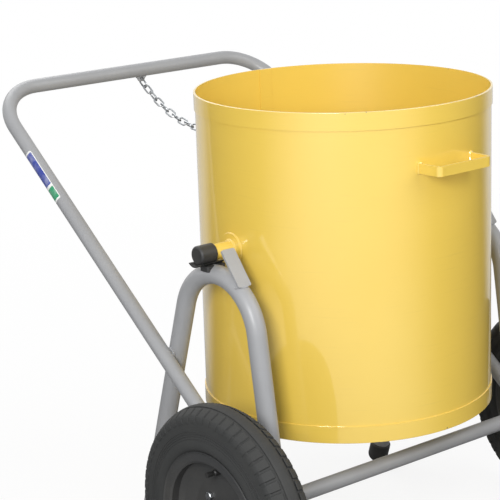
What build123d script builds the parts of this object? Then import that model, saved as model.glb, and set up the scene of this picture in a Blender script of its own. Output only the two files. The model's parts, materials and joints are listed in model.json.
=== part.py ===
from build123d import *
from math import asin, atan2, ceil, cos, degrees, hypot, pi, radians, sin, sqrt, tan
import os

os.makedirs("parts", exist_ok=True)

# Driving dimensions in millimetres: X runs across the cart, the front is at -Y, Z is height above the ground.

# Drum
drum_radius = 244.5
drum_height = 534.0
drum_sheet = 1.5
band_sheet = 1.8
rim_band_height = 28.5
base_band_height = 28.0
base_sheet = 2.0
base_flange_height = 18.0
seam_lap = 24.0
seam_angle = 82.0
drum_shift = 11.0

# Trunnions and their saddles
trunnion_below_rim = 229.5
trunnion_tube = 25.4
trunnion_wall = 2.0
trunnion_overhang = 38.0
cap_wall = 2.8
cap_length = 31.5
cap_end = 3.5
doubler_radius = 24.0
doubler_thickness = 2.5
saddle_wall = 2.5
saddle_inside = 18.0
saddle_outside = 33.0
saddle_half_angle = 38.0
saddle_clip_depth = 9.0
saddle_clip_width = 22.0
saddle_clip_shift = -6.0
swing_gap = 3.0

# Drum fittings
grab_below_rim = 95.0
grab_reach = 38.0
grab_half_front = 58.0
grab_half_wall = 60.5
grab_strip = 4.8
grab_depth = 15.9
grab_corner = 9.0

# Cart frame
hoop_gap = 16.625
hoop_tube = 31.75
hoop_wall = 2.0
hoop_bend = 93.0
hoop_apex_y = -20.0
rear_lean = 17.6
leg_tail = 20.0
handle_tube = 25.4
handle_wall = 2.0
handle_bend = 90.0
bar_reach = 344.5
bar_below_rim = 34.0
axle_y = -150.0
axle_tube_wall = 2.65
axle_rod_diameter = 20.0
stop_width = 25.4
stop_thickness = 4.0
stop_angle = 38.3
stop_inset = 5.7
stop_start = 27.0
stop_end = 94.0
foot_cap_wall = 3.3
foot_cap_height = 40.0
foot_cap_pad = 15.0
foot_cap_round = 14.0
foot_cap_wear = 1.5

# Wheels
wheel_diameter = 370.0
wheel_gap = 25.4
hub_length = 84.0
hub_wall = 4.0
hub_flange_width = 34.5
hub_flange_thickness = 5.0
bearing_section = 13.5
bearing_width = 14.0
rim_sheet = 2.2
rim_narrower = 4.0
bead_radius = 101.6
rim_flange_rise = 16.0
tyre_half_width = 36.0
tyre_wall = 6.5
tyre_crown = 13.0
bead_width = 9.0
shoulder_inset = 9.0
shoulder_drop = 10.0
tread_blocks = 60
tread_depth = 4.0
tread_notch = 4.5
tread_slope = 28.0
groove_x = 12.0
groove_width = 4.0
rim_bolt = 8.0
rim_bolt_inset = 16.0
rim_bolt_count = 4
valve_inset = 17.6
washer_thickness = 3.0
washer_width = 8.0
cotter_diameter = 4.0

# Chain
chain_x = 23.0
chain_wire = 3.2
chain_pitch = 19.6
chain_width = 14.5
chain_slack = 1.055
chain_twist = 45.0
eye_wire = 5.0
eye_drop = 7.0
eye_half_width = 6.5
hook_radius = 8.0
hook_tip = 4.0
hook_rise = 3.0

# Clearances
running_gap = 0.3
fit_gap = 0.1
bearing_gap = 0.05

# Derived values
inner_radius = drum_radius - drum_sheet
band_inner = drum_radius + fit_gap / 2
band_outer = band_inner + band_sheet
hoop_radius = hoop_tube / 2
handle_radius = handle_tube / 2
axle_height = wheel_diameter / 2
axle_rod_radius = axle_rod_diameter / 2
axle_tube_radius = axle_rod_radius + bearing_gap + axle_tube_wall
swing_radius = hypot(band_outer, drum_height - trunnion_below_rim)
trunnion_height = axle_height + sqrt((swing_radius + swing_gap + axle_tube_radius) ** 2 - axle_y**2)
rim_height = trunnion_height + trunnion_below_rim
base_height = rim_height - drum_height
bar_y = drum_radius + bar_reach
bar_height = rim_height - bar_below_rim
cap_radius = trunnion_tube / 2 + cap_wall
seat_radius = cap_radius + running_gap
hoop_x = drum_radius + hoop_gap + hoop_radius
side_x = hoop_x + hoop_radius + handle_radius
wheel_x = side_x + handle_radius + wheel_gap + tyre_half_width
trunnion_reach = hoop_x + trunnion_overhang
foot_cap_radius = hoop_radius + foot_cap_wall
washer_radius = axle_rod_radius + washer_width
bearing_outer = axle_rod_radius + bearing_section
hub_radius = bearing_outer + hub_wall
hub_flange_radius = hub_radius + hub_flange_width
rim_bolt_circle_radius = hub_flange_radius - rim_bolt_inset
rim_half_width = tyre_half_width - rim_narrower
rim_flange_radius = bead_radius + rim_flange_rise
valve_radius = bead_radius - valve_inset
arc_outer = hoop_bend + hoop_radius
arc_z = trunnion_height - seat_radius - saddle_wall - sqrt(arc_outer**2 - hoop_apex_y**2)
hub_inner_x = wheel_x - hub_length / 2
hub_outer_x = wheel_x + hub_length / 2
axle_tube_end = hub_inner_x - washer_thickness - running_gap
rod_end = hub_outer_x + washer_thickness + 3 * cotter_diameter
front_y = axle_y - wheel_diameter / 2
rear_y = bar_y + handle_radius
middle_y = (front_y + rear_y) / 2

pieces = {}


def add(name, *solids, shift=0):
    """Keep the solids of one named piece, moved along X."""
    pieces[name] = [Pos(shift, 0, 0) * solid for solid in solids]


def add_pair(name, *solids, shift=0):
    """Keep a piece of the left side, at +X, and its mirror image on the right, both moved along X."""
    add("left_" + name, *solids, shift=shift)
    add("right_" + name, *[mirror(solid, Plane.YZ) for solid in solids], shift=shift)


def rod_x(radius, start, end, y, z):
    """Cylinder along X between two X positions."""
    return extrude(Plane((start, y, z), x_dir=(0, 1, 0), z_dir=(1, 0, 0)) * Circle(radius), end - start)


def ring_z(outer, inner, bottom, height):
    """Upright ring about the drum's axis."""
    return extrude(Plane.XY.offset(bottom) * (Circle(outer) - Circle(inner)), height)


def solid_tube(path, radius):
    """Round bar along a path."""
    return sweep((path ^ 0) * Circle(radius), path)


def hollow_tube(path, radius, wall):
    """Round tube along a path."""
    return sweep((path ^ 0) * (Circle(radius) - Circle(radius - wall)), path)


def turned(points):
    """Body of revolution about X from (x, r) points."""
    return revolve(make_face(Plane.XZ * Polyline(*points, close=True)), Axis.X)


# Hoops: two straight legs joined by one bend, front leg on the axle, rear leg down to the ground
arc_y = hoop_apex_y
reach_y = arc_y - axle_y
reach_z = arc_z - axle_height
front_lean = degrees(atan2(reach_y, reach_z) - asin(hoop_bend / hypot(reach_y, reach_z)))
front_slope = tan(radians(front_lean))
rear_slope = tan(radians(rear_lean))
rear_line_y = arc_y + hoop_bend / cos(radians(rear_lean))
top_rise = rear_line_y - axle_y + rear_slope * arc_z + front_slope * axle_height
top_rise /= front_slope + rear_slope
top_y = axle_y + front_slope * (top_rise - axle_height)
ground_y = rear_line_y + rear_slope * arc_z
front_axis = Vector(0, sin(radians(front_lean)), cos(radians(front_lean)))
rear_axis = Vector(0, -sin(radians(rear_lean)), cos(radians(rear_lean)))
front_end = Vector(hoop_x, axle_y, axle_height) - front_axis * leg_tail
ground_point = Vector(hoop_x, ground_y, 0)
rear_end = ground_point + rear_axis * foot_cap_pad
hoop_path = FilletPolyline(front_end, (hoop_x, top_y, top_rise), rear_end, radius=hoop_bend)
hoop_bar = solid_tube(hoop_path, hoop_radius)
axle_hole = rod_x(axle_tube_radius + fit_gap, -axle_tube_end, axle_tube_end, axle_y, axle_height)
add_pair("hoop", hollow_tube(hoop_path, hoop_radius, hoop_wall) - axle_hole)

# Rubber ferrules under the rear legs, round ended and worn flat on the ground
foot_flat = foot_cap_radius - foot_cap_round
foot_tip = foot_cap_round * (1 - rear_axis.Z) - foot_flat * rear_axis.Y - foot_cap_wear
foot_plane = Plane(ground_point, x_dir=(1, 0, 0), z_dir=rear_axis)
foot_cap = extrude(foot_plane.offset(foot_tip / rear_axis.Z) * Circle(foot_cap_radius), foot_cap_height)
foot_ends = foot_cap.edges().sort_by(Axis(ground_point, rear_axis))
foot_cap = fillet(foot_ends[0], foot_cap_round)
foot_cap = chamfer(foot_cap.edges().sort_by(Axis(ground_point, rear_axis))[-1], 1.5)
foot_cap -= extrude(foot_plane.offset(foot_cap_pad) * Circle(hoop_radius + fit_gap), foot_cap_height)
foot_cap -= Pos(hoop_x, ground_y, -foot_cap_height) * Box(300, 300, 2 * foot_cap_height)
add_pair("foot_cap", foot_cap)

# Push handle: one tube bent twice, its ends coped to the axle tube
handle_path = FilletPolyline(
    (-side_x, axle_y, axle_height),
    (-side_x, bar_y, bar_height),
    (side_x, bar_y, bar_height),
    (side_x, axle_y, axle_height),
    radius=handle_bend,
)
cope = rod_x(axle_tube_radius + 2 * fit_gap, -axle_tube_end, axle_tube_end, axle_y, axle_height)
add("push_handle", hollow_tube(handle_path, handle_radius, handle_wall) - cope)

# Axle
axle_bore = rod_x(axle_rod_radius + bearing_gap, -rod_end, rod_end, axle_y, axle_height)
add("axle_tube", rod_x(axle_tube_radius, -axle_tube_end, axle_tube_end, axle_y, axle_height) - axle_bore)
cotter_x = hub_outer_x + running_gap + washer_thickness + cotter_diameter
rod = chamfer(rod_x(axle_rod_radius, -rod_end, rod_end, axle_y, axle_height).edges(), 1.5)
for side in (-1, 1):
    rod -= Pos(side * cotter_x, axle_y, axle_height) * Cylinder(cotter_diameter / 2 + fit_gap, 60)
add("axle_rod", rod)
washers = []
pins = []
for side in (-1, 1):
    for start in (axle_tube_end, hub_outer_x + running_gap):
        disc = rod_x(washer_radius, start, start + washer_thickness, axle_y, axle_height) - axle_bore
        washers.append(disc if side > 0 else mirror(disc, Plane.YZ))
    pin = Pos(side * cotter_x, axle_y, axle_height) * Cylinder(cotter_diameter / 2, 2 * axle_rod_radius + 10)
    loop = Torus(cotter_diameter, cotter_diameter / 3)
    loop_z = axle_height + axle_rod_radius + 5 + cotter_diameter
    pin += Pos(side * cotter_x, axle_y, loop_z) * Rot(0, 90, 0) * loop
    pins.append(pin)
add("axle_washers", *washers)
add("cotter_pins", *pins)

# Stop plates on the front shoulders of the hoops
stop_normal = Vector(0, -cos(radians(stop_angle)), sin(radians(stop_angle)))
stop_up = Vector(0, sin(radians(stop_angle)), cos(radians(stop_angle)))
stop_middle = Vector(hoop_x, arc_y, arc_z) + stop_normal * (arc_outer - stop_inset + stop_thickness / 2)
stop_middle += stop_up * ((stop_start + stop_end) / 2)
stop_plane = Plane(stop_middle, x_dir=(1, 0, 0), z_dir=stop_normal)
stop_outline = RectangleRounded(stop_width, stop_end - stop_start, 3)
add_pair("stop_plate", extrude(stop_plane * stop_outline, stop_thickness / 2, both=True) - hoop_bar)

# Rubber saddles: a trough for the trunnion cap on a clip that grips the hoop
trough_ring = Circle(seat_radius + saddle_wall) - Circle(seat_radius)
trough_lip = seat_radius * cos(radians(saddle_half_angle))
trough_ring -= Pos(0, seat_radius - trough_lip) * Rectangle(4 * seat_radius, 2 * seat_radius)
saddle_plane = Plane((hoop_x - saddle_inside, 0, trunnion_height), x_dir=(0, 1, 0), z_dir=(1, 0, 0))
saddle = extrude(saddle_plane * trough_ring, saddle_inside + saddle_outside)
clip_top = seat_radius + saddle_wall / 2
clip = Pos(hoop_x, saddle_clip_shift, trunnion_height - clip_top - saddle_clip_depth / 2)
clip *= Box(hoop_tube + 2 * saddle_wall, saddle_clip_width, saddle_clip_depth)
clip = fillet(clip.edges().filter_by(Axis.Z), 4)
saddle = saddle + clip - hoop_bar
saddle -= rod_x(seat_radius, drum_radius, hoop_x + 2 * saddle_outside, 0, trunnion_height)
add_pair("saddle", saddle)

# Drum sheet with its lap seam, bands and bottom; the drum has slid to the left in its saddles
shell = ring_z(drum_radius, inner_radius, base_height, drum_height)
lap_bottom = base_height + 2 * base_flange_height
lap_ring = ring_z(inner_radius, inner_radius - drum_sheet, lap_bottom, rim_height - lap_bottom)
lap_box = Rot(0, 0, seam_angle) * Pos(inner_radius, 0, base_height) * Box(40, seam_lap, 3 * drum_height)
add("drum_shell", shell + (lap_ring & lap_box), shift=drum_shift)
rim_band = ring_z(band_outer, band_inner, rim_height - rim_band_height, rim_band_height)
rim_band = fillet(rim_band.edges().sort_by(Axis.Z)[-2:].sort_by(SortBy.LENGTH)[-1], 0.8)
add("rim_band", rim_band, shift=drum_shift)
base_band = ring_z(band_outer, band_inner, base_height, base_band_height)
base_band = fillet(base_band.edges().sort_by(Axis.Z)[:2].sort_by(SortBy.LENGTH)[-1], 0.8)
add("base_band", base_band, shift=drum_shift)
pan_radius = inner_radius - fit_gap / 2
pan = extrude(Plane.XY.offset(base_height) * Circle(pan_radius), base_sheet)
pan += ring_z(pan_radius, pan_radius - base_sheet, base_height, base_flange_height)
add("base_plate", pan, shift=drum_shift)

# Trunnions, round doublers on the wall about them and rubber caps over them
drum_body = Pos(0, 0, base_height + drum_height / 2) * Cylinder(drum_radius, 2 * drum_height)
trunnion_end = trunnion_reach - cap_end - fit_gap
trunnion = rod_x(trunnion_tube / 2, 0, trunnion_end, 0, trunnion_height)
trunnion -= rod_x(trunnion_tube / 2 - trunnion_wall, 0, trunnion_end, 0, trunnion_height)
add_pair("trunnion", trunnion - drum_body, shift=drum_shift)
doubler_bottom = trunnion_height - 2 * doubler_radius
doubler = ring_z(band_inner + doubler_thickness, band_inner, doubler_bottom, 4 * doubler_radius)
doubler &= rod_x(doubler_radius, 0, trunnion_end, 0, trunnion_height)
doubler -= rod_x(trunnion_tube / 2 + fit_gap / 2, 0, trunnion_end, 0, trunnion_height)
add_pair("doubler", doubler, shift=drum_shift)
cap = rod_x(cap_radius, trunnion_reach - cap_length, trunnion_reach, 0, trunnion_height)
cap = fillet(cap.edges().sort_by(Axis.X)[-1], 4)
cap = fillet(cap.edges().sort_by(Axis.X)[0], 1)
cap_bore = trunnion_tube / 2 + fit_gap / 2
cap -= rod_x(cap_bore, trunnion_reach - 2 * cap_length, trunnion_reach - cap_end, 0, trunnion_height)
add_pair("trunnion_cap", cap, shift=drum_shift)

# Grab handles: flat strip bent to a U with its legs coped to the wall
grab_front = drum_radius + grab_reach
grab_root = drum_radius - 60
grab_outline = [
    (-grab_half_wall, -grab_root),
    (-grab_half_front, -grab_front),
    (grab_half_front, -grab_front),
    (grab_half_wall, -grab_root),
]
grab_face = make_face(Polyline(*grab_outline, close=True))
grab_face = fillet(grab_face.vertices().sort_by(Axis.Y)[:2], grab_corner)
grab_strip_face = grab_face - offset(grab_face, -grab_strip)
grab_height = rim_height - grab_below_rim
grab = extrude(Plane.XY.offset(grab_height - grab_depth / 2) * grab_strip_face, grab_depth) - drum_body
add("front_grab_handle", grab, shift=drum_shift)
add("rear_grab_handle", Rot(0, 0, 180) * grab, shift=drum_shift)

# Chain: eye under the crossbar, links on a hanging curve, hook under the rear grab handle
eye_z = bar_height - handle_radius - eye_drop
eye_path = FilletPolyline(
    (chain_x - eye_half_width, bar_y, bar_height),
    (chain_x - eye_half_width, bar_y, eye_z),
    (chain_x + eye_half_width, bar_y, eye_z),
    (chain_x + eye_half_width, bar_y, bar_height),
    radius=eye_wire,
)
bar = rod_x(handle_radius + fit_gap / 2, -100, 100, bar_y, bar_height)
add("chain_eye", solid_tube(eye_path, eye_wire / 2) - bar)

wire_radius = chain_wire / 2
link_inside = chain_pitch + running_gap
end_radius = (chain_width - chain_wire) / 2
straight = link_inside + 2 * chain_wire - chain_width
strip_bottom = grab_height - grab_depth / 2
strip_middle = grab_front - grab_strip / 2
hook_inside = hook_radius - wire_radius
hook_y = strip_middle - (hook_inside - 1 - grab_strip / 2)
hook_z = strip_bottom + sqrt(hook_inside**2 - (hook_inside - 1) ** 2) - 1.4 * running_gap
ring_y = hook_y + 2 * hook_radius
ring_z_place = hook_z + hook_rise
first_step = link_inside / 2 - eye_wire / 2 - running_gap
last_step = hook_radius - chain_wire - running_gap + link_inside / 2 + wire_radius
chain_span = chain_slack * hypot(bar_y - ring_y, eye_z - ring_z_place)
chain_links = 2 * ceil((chain_span - first_step - last_step + chain_pitch) / (2 * chain_pitch))
chain_length = first_step + last_step + chain_pitch * (chain_links - 1)


def chain_curve(sag, steps=400):
    """Points of a hanging parabola from the eye to the hook's ring, with their running lengths."""
    points = []
    length = 0
    for i in range(steps + 1):
        y = bar_y + (ring_y - bar_y) * i / steps
        z = eye_z + (ring_z_place - eye_z) * i / steps + sag * (y - bar_y) * (y - ring_y)
        if points:
            length += hypot(y - points[-1][0], z - points[-1][1])
        points.append((y, z, length))
    return points


low_sag = 0
high_sag = 0.01
for _ in range(50):
    sag = (low_sag + high_sag) / 2
    if chain_curve(sag)[-1][2] < chain_length:
        low_sag = sag
    else:
        high_sag = sag
curve = chain_curve(sag)


def on_curve(length):
    """Place and slope angle on the hanging curve at a running length."""
    for (y0, z0, l0), (y1, z1, l1) in zip(curve[:-1], curve[1:]):
        if l1 >= length:
            part = (length - l0) / (l1 - l0)
            return y0 + part * (y1 - y0), z0 + part * (z1 - z0), degrees(atan2(z1 - z0, y1 - y0))
    return y1, z1, degrees(atan2(z1 - z0, y1 - y0))


link_section = Circle(wire_radius)
link_end = revolve(Plane.XZ * Pos(end_radius, 0) * link_section, Axis.Z, 180)
link_end = Pos(straight / 2, 0, 0) * Rot(0, 0, -90) * link_end
link = link_end + mirror(link_end, Plane.YZ)
for side in (-1, 1):
    bar_plane = Plane((-straight / 2, side * end_radius, 0), x_dir=(0, 1, 0), z_dir=(1, 0, 0))
    link += extrude(bar_plane * link_section, straight)
links = []
for i in range(chain_links):
    y, z, slope = on_curve(first_step + i * chain_pitch)
    roll = 90 * (i + 1) + chain_twist * sin(pi * i / (chain_links - 1))
    links.append(Pos(chain_x, y, z) * Rot(slope, 0, 0) * Rot(0, 0, 90) * Rot(roll, 0, 0) * link)
add("chain_links", *links)

hook_front = hook_y - hook_radius
hook_back = hook_y + hook_radius
hook_tip_z = hook_z + hook_tip
tip = Line((chain_x, hook_front, hook_tip_z), (chain_x, hook_front, hook_z))
hook_low = (chain_x, hook_y, hook_z - hook_radius)
crook = ThreePointArc((chain_x, hook_front, hook_z), hook_low, (chain_x, hook_back, hook_z))
shank = Line((chain_x, hook_back, hook_z), (chain_x, hook_back, ring_z_place))
hook = solid_tube(Wire([tip.edge(), crook.edge(), shank.edge()]), wire_radius)
hook += Pos(chain_x, ring_y, ring_z_place) * Rot(0, 90, 0) * Torus(hook_radius, wire_radius)
hook += Pos(chain_x, hook_front, hook_tip_z) * Sphere(wire_radius)
add("chain_hook", hook)

# Wheel, built about X at the origin with its outer face at +X
crown = wheel_diameter / 2
bead_x = rim_half_width - rim_sheet / 2
well_x = bead_x - bead_width
shoulder_x = tyre_half_width - shoulder_inset
cavity_middle = (bead_radius + crown) / 2 - shoulder_drop / 2
cavity_half_width = tyre_half_width - tyre_wall
cavity_half_height = crown - tyre_crown - cavity_middle
side_points = [
    (bead_x - 1.5, bead_radius + fit_gap),
    (bead_x - running_gap, bead_radius + 2.5),
    (bead_x - running_gap, rim_flange_radius - 1.2),
    (bead_x + 4, rim_flange_radius + 3.2),
    (tyre_half_width, (rim_flange_radius + crown) / 2 - shoulder_drop),
    (tyre_half_width - 0.4 * shoulder_inset, crown - 2 * shoulder_drop),
    (shoulder_x, crown - shoulder_drop),
]
mirrored = [(-x, r) for x, r in reversed(side_points)]
tyre_lines = [Polyline(*side_points[:4])]
tyre_lines.append(Spline(*side_points[3:]))
tyre_lines.append(ThreePointArc(side_points[-1], (0, crown), mirrored[0]))
tyre_lines.append(Spline(*mirrored[:4]))
tyre_lines.append(Polyline(*mirrored[3:]))
tyre_lines.append(Line(mirrored[-1], side_points[0]))
tyre_face = make_face(Curve() + tyre_lines)
cavity = Pos(0, cavity_middle) * Ellipse(cavity_half_width, cavity_half_height)
opening = Pos(0, bead_radius) * Rectangle(2 * well_x, 2 * (cavity_middle - bead_radius))
tyre_face = tyre_face - cavity - opening
for x in (-groove_x, groove_x):
    tyre_face -= Pos(x, crown) * Rectangle(groove_width, 2 * tread_depth)
tyre = revolve(Plane.XZ * tyre_face, Axis.X)
notches = []
notch_length = 1.3 * (tyre_half_width - groove_x - groove_width)
notch_root = groove_x + groove_width
notch_reach = 3 * tread_depth
for side in (-1, 1):
    notch = Pos(side * notch_length / 2, 0, notch_reach / 2) * Box(notch_length, tread_notch, notch_reach)
    notch = Pos(side * notch_root, 0, crown - 1.3 * tread_depth) * Rot(0, side * tread_slope, 0) * notch
    for i in range(tread_blocks):
        turn = 360 * (i + (0.5 if side > 0 else 0)) / tread_blocks
        notches.append(Rot(turn, 0, 0) * notch)
tyre = tyre - notches
tube_outer = Ellipse(cavity_half_width - running_gap, cavity_half_height - running_gap)
tube_inner = Ellipse(cavity_half_width - running_gap - 2, cavity_half_height - running_gap - 2)
inner_tube = revolve(Plane.XZ * (Pos(0, cavity_middle) * (tube_outer - tube_inner)), Axis.X)

disc_x = hub_flange_thickness / 2 + fit_gap
rim_points = [
    (disc_x, hub_radius + fit_gap),
    (disc_x, 0.69 * bead_radius),
    (disc_x + 7, 0.9 * bead_radius),
    (disc_x + 14, bead_radius),
    (bead_x - 1, bead_radius),
    (bead_x, bead_radius + 2),
    (bead_x, rim_flange_radius - 2),
    (bead_x + 2, rim_flange_radius),
    (bead_x + 4, rim_flange_radius - 1),
    (bead_x + rim_sheet, rim_flange_radius - 3),
    (bead_x + rim_sheet, bead_radius + 1),
    (bead_x, bead_radius - rim_sheet),
    (disc_x + 15, bead_radius - rim_sheet),
    (disc_x + 7 + rim_sheet, 0.89 * bead_radius),
    (disc_x + rim_sheet, 0.68 * bead_radius),
    (disc_x + rim_sheet, hub_radius + fit_gap),
]
rim_half = turned(rim_points)
bolt_places = []
for i in range(rim_bolt_count):
    angle = 2 * pi * i / rim_bolt_count + pi / 4
    bolt_places.append((rim_bolt_circle_radius * cos(angle), rim_bolt_circle_radius * sin(angle)))
holes = [rod_x(rim_bolt / 2 + fit_gap, -50, 50, y, z) for y, z in bolt_places]
rim_half = rim_half - holes
valve_hole = rod_x(5 + fit_gap, 0, 60, 0, valve_radius)
outer_rim = rim_half - valve_hole
inner_rim = mirror(rim_half, Plane.YZ)
valve_points = [
    (disc_x, 0),
    (disc_x, 7),
    (disc_x + 2, 7),
    (disc_x + 2, 5),
    (20, 5),
    (22, 3.5),
    (27, 3.5),
    (27, 4.2),
    (35, 4.2),
    (35, 0),
]
valve = Pos(0, 0, valve_radius) * turned(valve_points)
seat = bearing_outer + fit_gap / 2
half_hub = hub_length / 2
hub_points = [
    (-half_hub, seat),
    (-half_hub, hub_radius),
    (-hub_flange_thickness / 2, hub_radius),
    (-hub_flange_thickness / 2, hub_flange_radius),
    (hub_flange_thickness / 2, hub_flange_radius),
    (hub_flange_thickness / 2, hub_radius),
    (half_hub, hub_radius),
    (half_hub, seat),
    (half_hub - bearing_width - 1, seat),
    (half_hub - bearing_width - 1, seat - 5),
    (-half_hub + bearing_width + 1, seat - 5),
    (-half_hub + bearing_width + 1, seat),
]
hub = turned(hub_points) - holes
bearing_start = half_hub - bearing_width - 1
bearing_inner = axle_rod_radius + bearing_gap
bearing_points = [
    (bearing_start, bearing_inner),
    (bearing_start, bearing_outer),
    (bearing_start + bearing_width, bearing_outer),
    (bearing_start + bearing_width, bearing_outer - 3.5),
    (bearing_start + bearing_width - 1, bearing_outer - 4),
    (bearing_start + bearing_width - 1, bearing_inner + 4),
    (bearing_start + bearing_width, bearing_inner + 3.5),
    (bearing_start + bearing_width, bearing_inner),
]
bearing = turned(bearing_points)
grip = disc_x + rim_sheet
bolt_plane = Plane((0, 0, 0), x_dir=(0, 1, 0), z_dir=(1, 0, 0))
rim_bolt_solid = extrude(bolt_plane.offset(grip) * RegularPolygon(0.92 * rim_bolt, 6), 0.65 * rim_bolt)
rim_bolt_solid += extrude(bolt_plane.offset(-grip - rim_bolt) * Circle(rim_bolt / 2), 2 * grip + rim_bolt)
nut_face = RegularPolygon(0.92 * rim_bolt, 6) - Circle(rim_bolt / 2 + fit_gap)
rim_nut_solid = extrude(bolt_plane.offset(-grip) * nut_face, -0.8 * rim_bolt)

wheel_place = Pos(wheel_x, axle_y, axle_height)
add_pair("tyre", wheel_place * tyre)
add_pair("inner_tube", wheel_place * inner_tube)
add_pair("outer_rim", wheel_place * outer_rim)
add_pair("inner_rim", wheel_place * inner_rim)
add_pair("hub", wheel_place * hub)
add_pair("bearings", wheel_place * bearing, wheel_place * mirror(bearing, Plane.YZ))
add_pair("rim_bolts", *[wheel_place * Pos(0, y, z) * rim_bolt_solid for y, z in bolt_places])
add_pair("rim_nuts", *[wheel_place * Pos(0, y, z) * rim_nut_solid for y, z in bolt_places])
add_pair("valve", wheel_place * valve)

# Every piece moves back so that the origin is under the middle of the whole cart
for name, solids in pieces.items():
    placed = [Pos(0, -middle_y, 0) * solid for solid in solids]
    shape = placed[0] if len(placed) == 1 else Compound(children=placed)
    shape.label = name
    export_step(shape, "parts/" + name + ".step")
print(len(pieces), "pieces, origin", round(middle_y, 2), "mm behind the drum's axis")
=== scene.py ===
"""Looks of a tipping drum cart: finishes, tyres, chain, fixings, weld beads, label, studio and camera."""

import json
import logging
import math
from collections.abc import Callable, Iterable, Mapping, Sequence
from dataclasses import dataclass
from enum import Enum
from functools import partial
from typing import Any

import bmesh
import bpy
import numpy as np
from mathutils import Matrix, Vector

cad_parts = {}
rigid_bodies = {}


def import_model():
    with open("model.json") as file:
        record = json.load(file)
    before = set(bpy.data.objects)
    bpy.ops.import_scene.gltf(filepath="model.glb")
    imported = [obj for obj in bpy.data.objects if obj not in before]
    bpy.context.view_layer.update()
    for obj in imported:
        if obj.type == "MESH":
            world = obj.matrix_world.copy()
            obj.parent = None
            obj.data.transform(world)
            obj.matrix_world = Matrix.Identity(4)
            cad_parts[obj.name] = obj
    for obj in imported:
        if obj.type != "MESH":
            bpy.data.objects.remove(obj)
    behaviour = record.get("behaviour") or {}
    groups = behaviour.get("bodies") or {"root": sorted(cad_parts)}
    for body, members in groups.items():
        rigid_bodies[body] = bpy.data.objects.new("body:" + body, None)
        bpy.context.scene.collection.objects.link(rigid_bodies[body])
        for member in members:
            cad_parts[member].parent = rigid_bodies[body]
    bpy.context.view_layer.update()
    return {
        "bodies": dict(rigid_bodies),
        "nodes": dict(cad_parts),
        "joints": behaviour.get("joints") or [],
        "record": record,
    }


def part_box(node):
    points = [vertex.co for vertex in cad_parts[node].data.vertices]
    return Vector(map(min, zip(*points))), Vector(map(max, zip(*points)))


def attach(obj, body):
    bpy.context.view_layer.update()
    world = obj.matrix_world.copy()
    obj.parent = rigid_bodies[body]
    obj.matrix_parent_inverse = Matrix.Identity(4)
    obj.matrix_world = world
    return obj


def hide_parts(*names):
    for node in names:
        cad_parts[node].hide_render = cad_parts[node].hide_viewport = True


LOG = logging.getLogger("drum_cart")
MM = 0.001
SMOOTH_ANGLE = math.radians(35)
SAME_PLACE = 1e-6
WHITE = (1.0, 1.0, 1.0, 1.0)
# Where most values of a noise texture lie
NOISE_SPAN = (0.3, 0.7)

Mesh = bpy.types.Mesh
Material = bpy.types.Material
Socket = bpy.types.NodeSocket
NodeAdder = Callable[..., Socket]
Numbers = float | np.ndarray
Span = tuple[float, float]
Profile = tuple[Span, ...]


class Side(Enum):
    """The two sides of the cart, with the sign of their X."""

    LEFT = 1
    RIGHT = -1

    @property
    def prefix(self) -> str:
        """Start of this side's node names."""
        return self.name.lower() + "_"


class Slot(Enum):
    """The finishes that the CAD nodes name."""

    YELLOW = "yellow_enamel"
    GREY = "grey_enamel"
    BLACK = "black_enamel"
    CAP = "black_rubber"
    TYRE = "tyre_rubber"
    TUBE = "tube_rubber"
    VALVE = "valve_rubber"
    ZINC = "zinc_plated_steel"
    BEARING = "bearing_steel"


def linear(code: str) -> tuple[float, float, float, float]:
    """Turn an sRGB hex colour into linear light.

    Args:
        code: Colour as "#RRGGBB".

    Returns:
        Red, green, blue and alpha as a shader takes them.
    """
    channels = [int(code[i : i + 2], 16) / 255 for i in (1, 3, 5)]
    light = [c / 12.92 if c <= 0.04045 else ((c + 0.055) / 1.055) ** 2.4 for c in channels]
    return light[0], light[1], light[2], 1.0


def per_metre(size_mm: float) -> float:
    """Give the texture scale whose features are about size_mm wide."""
    return 1 / (size_mm * MM)


def way_out(azimuth: float, elevation: float) -> Vector:
    """Give the direction from the cart at an azimuth, 0 in front, and an elevation, both in radians."""
    level = math.cos(elevation)
    return Vector((math.sin(azimuth) * level, -math.cos(azimuth) * level, math.sin(elevation)))


def full_turn(steps: int) -> tuple[np.ndarray, np.ndarray]:
    """Give the cosines and the sines of evenly spaced angles of one turn."""
    angles = np.arange(steps) * math.tau / steps
    return np.cos(angles), np.sin(angles)


def points_at(x: Numbers, y: Numbers, z: Numbers) -> np.ndarray:
    """Put coordinates, each an array or one number for all, together as rows of points."""
    return np.stack(np.broadcast_arrays(x, y, z), -1).reshape(-1, 3)


def box_of(name: str) -> tuple[Vector, Vector]:
    """Give the middle and half the size of a CAD node's box."""
    low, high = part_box(name)
    return (low + high) / 2, (high - low) / 2


def put(name: str, data: bpy.types.ID) -> bpy.types.Object:
    """Put a mesh, a lamp or a camera in the scene as an object.

    Args:
        name: Name of the object.
        data: What it shows.

    Returns:
        The object, at the origin.
    """
    thing = bpy.data.objects.new(name, data)
    bpy.context.scene.collection.objects.link(thing)
    return thing


def add_node(
    tree: bpy.types.NodeTree,
    kind: str,
    inputs: Mapping[str | int, Any] | Sequence[Any] = (),
    out: str | int = 0,
    **settings: Any,
) -> Socket | None:
    """Add a node, set its options and fill or link its inputs.

    Args:
        tree: Shader or geometry tree that gets the node.
        kind: Blender's name of the node type.
        inputs: Values, or sockets to link from, in order or by input name or number.
        out: Name or number of the output that is wanted.
        settings: Options of the node.

    Returns:
        That output, or None from a node that ends the tree.
    """
    node = tree.nodes.new(kind)
    for option, value in settings.items():
        setattr(node, option, value)
    for key, value in inputs.items() if isinstance(inputs, Mapping) else enumerate(inputs):
        if isinstance(value, Socket):
            tree.links.new(value, node.inputs[key])
        else:
            node.inputs[key].default_value = value
    return node.outputs[out] if node.outputs else None


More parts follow.
